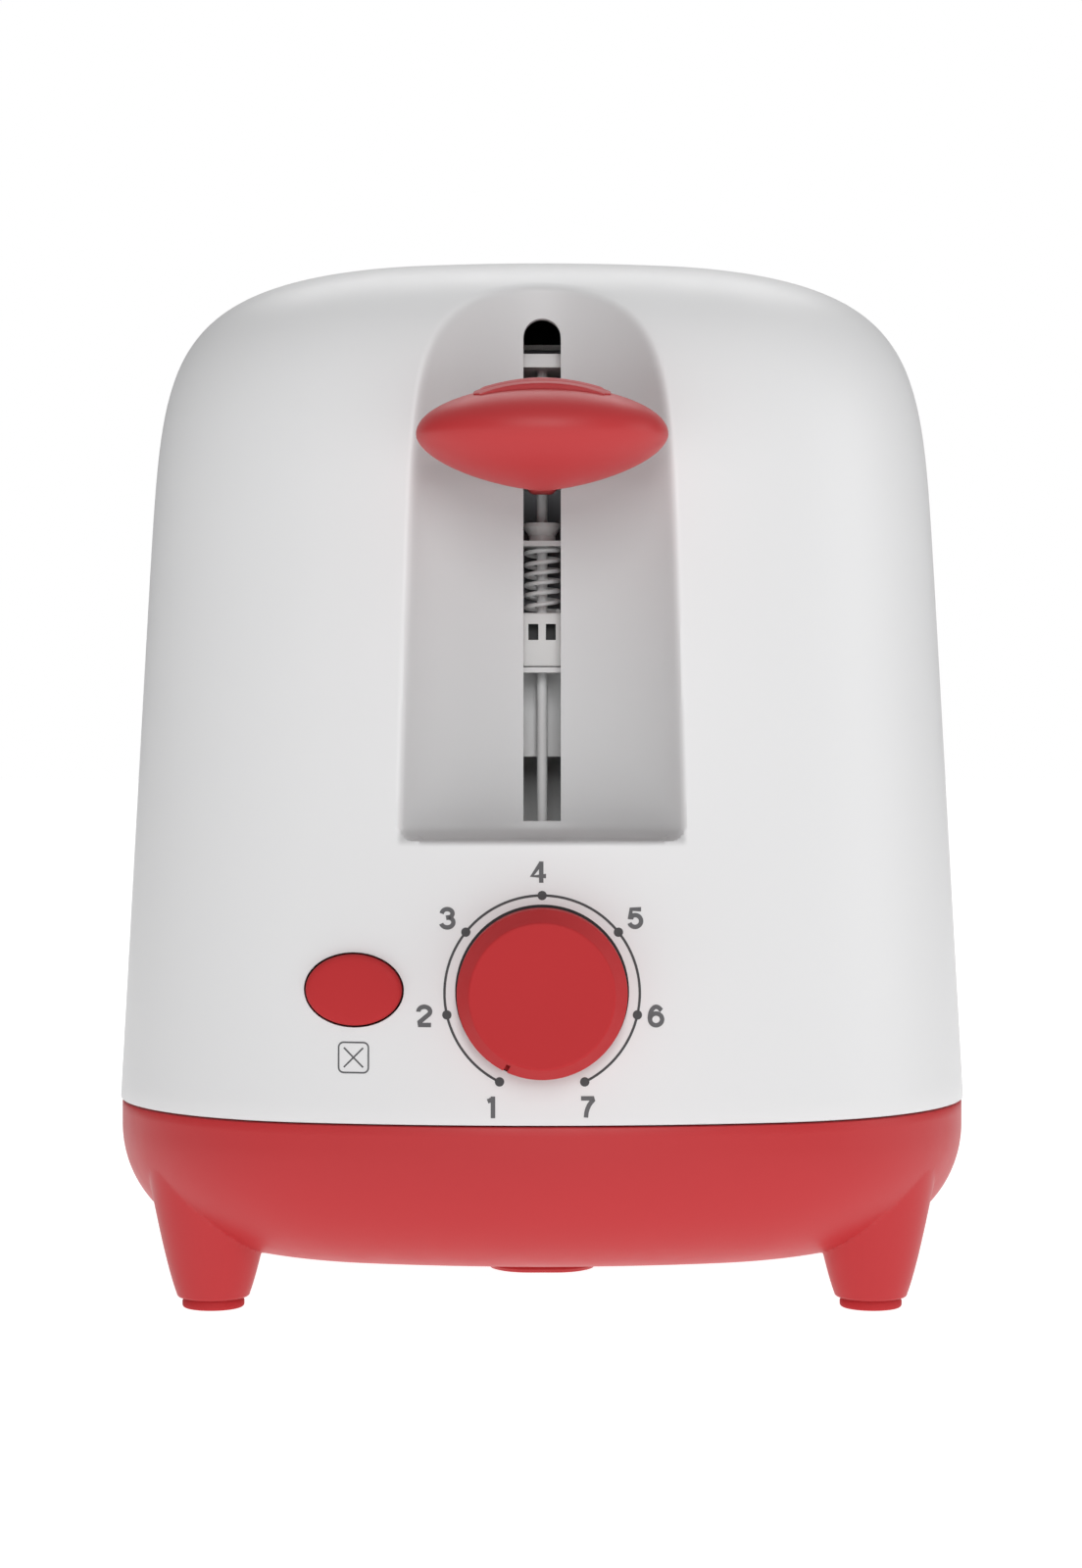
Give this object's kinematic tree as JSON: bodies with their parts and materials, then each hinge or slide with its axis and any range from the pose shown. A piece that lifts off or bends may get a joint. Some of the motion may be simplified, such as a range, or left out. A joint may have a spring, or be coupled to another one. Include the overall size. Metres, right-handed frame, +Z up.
{
  "type": "pop up toaster",
  "caption": "Pop-up toaster with a white shell on a red footed base, push-down lever in a scooped recess, browning knob, cancel button and rear crumb tray.",
  "frame": {"origin": "on the surface the feet stand on, under the middle of the whole part (lever tip to tray handle)", "axes": "+Z up, -Y towards the lever end, +X to the right as seen from the lever end"},
  "size_m": [0.166, 0.309, 0.201],
  "materials": {
    "shell_white": "satin",
    "base_red": "satin",
    "control_red": "satin",
    "grip_red": "ribbed",
    "rubber_red": "matte",
    "bright_steel": "bright",
    "zinc_steel": "zinc plated",
    "dark_iron": "oxidised",
    "nylon_white": "moulded",
    "copper": "enamelled wire",
    "board_green": "laminate",
    "black_plastic": "moulded",
    "mica": "pressed flake",
    "nichrome": "oxidised"
  },
  "bodies": {
    "housing": {"housing_shell": "shell_white", "base": "base_red", "foot_front_left": "rubber_red", "foot_front_right": "rubber_red", "foot_rear_left": "rubber_red", "foot_rear_right": "rubber_red", "base_screws": "bright_steel", "guide_rod": "bright_steel", "rod_upper_bracket": "zinc_steel", "rod_lower_bracket": "zinc_steel", "spring_post": "bright_steel", "return_spring": "bright_steel", "magnet_core": "dark_iron", "magnet_coil": "copper", "mains_switch": "nylon_white", "circuit_board": "board_green", "board_parts": "black_plastic", "board_screws": "bright_steel", "potentiometer_body": "black_plastic", "cancel_switch": "black_plastic", "front_end_plate": "zinc_steel", "rear_end_plate": "zinc_steel", "left_reflector": "zinc_steel", "right_reflector": "zinc_steel", "top_slot_frame": "bright_steel", "chassis_screws": "bright_steel", "mica_left_outer": "mica", "mica_left_inner": "mica", "mica_right_inner": "mica", "mica_right_outer": "mica", "ribbon_left_outer": "nichrome", "ribbon_left_inner": "nichrome", "ribbon_right_inner": "nichrome", "ribbon_right_outer": "nichrome", "terminal_block": "nylon_white", "cord_gland": "base_red"},
    "carriage": {"lever": "control_red", "lever_grip_pad": "grip_red", "carriage_bracket": "zinc_steel", "upper_bush": "nylon_white", "lower_bush": "nylon_white", "buffer_spring": "bright_steel", "armature_plate": "dark_iron", "bread_rack_left": "bright_steel", "bread_rack_right": "bright_steel"},
    "knob": {"browning_knob": "control_red", "potentiometer_shaft": "bright_steel"},
    "button": {"cancel_button": "control_red", "switch_plunger": "nylon_white"},
    "tray": {"crumb_tray": "zinc_steel", "tray_handle": "base_red"},
    "left_outer_guide": {"guide_left_outer": "bright_steel"},
    "left_inner_guide": {"guide_left_inner": "bright_steel"},
    "right_inner_guide": {"guide_right_inner": "bright_steel"},
    "right_outer_guide": {"guide_right_outer": "bright_steel"}
  },
  "joints": [
    {"name": "lever_slide", "type": "slide", "parent": "housing", "child": "carriage", "axis": [0, 0, 1], "range_m": [-0.057, 0.014], "stiffness_N_per_m": 100, "springref_m": 0.0115, "deforming": ["return_spring"]},
    {"name": "knob_turn", "type": "hinge", "parent": "housing", "child": "knob", "pos_m": [0, -0.1342, 0.062], "axis": [0, 1, 0], "range_deg": [0, 308.4]},
    {"name": "cancel_press", "type": "slide", "parent": "housing", "child": "button", "axis": [0, 1, 0], "range_m": [0, 0.0016], "stiffness_N_per_m": 400},
    {"name": "tray_slide", "type": "slide", "parent": "housing", "child": "tray", "axis": [0, 1, 0], "range_m": [0, 0.16]},
    {"name": "left_outer_guide_tilt", "type": "hinge", "parent": "housing", "child": "left_outer_guide", "pos_m": [-0.038, 0.008, 0.05], "axis": [0, 1, 0], "range_deg": [-0.8, 3.05]},
    {"name": "left_inner_guide_tilt", "type": "hinge", "parent": "housing", "child": "left_inner_guide", "pos_m": [-0.01, 0.008, 0.05], "axis": [0, 1, 0], "range_deg": [-3.05, 0.8]},
    {"name": "right_inner_guide_tilt", "type": "hinge", "parent": "housing", "child": "right_inner_guide", "pos_m": [0.01, 0.008, 0.05], "axis": [0, 1, 0], "range_deg": [-0.8, 3.05]},
    {"name": "right_outer_guide_tilt", "type": "hinge", "parent": "housing", "child": "right_outer_guide", "pos_m": [0.038, 0.008, 0.05], "axis": [0, 1, 0], "range_deg": [-3.05, 0.8]}
  ],
  "couplings": [
    {"joint": "left_outer_guide_tilt", "follows": "lever_slide", "rad_per_m": -0.9186},
    {"joint": "left_inner_guide_tilt", "follows": "lever_slide", "rad_per_m": 0.9186},
    {"joint": "right_inner_guide_tilt", "follows": "lever_slide", "rad_per_m": -0.9186},
    {"joint": "right_outer_guide_tilt", "follows": "lever_slide", "rad_per_m": 0.9186}
  ]
}
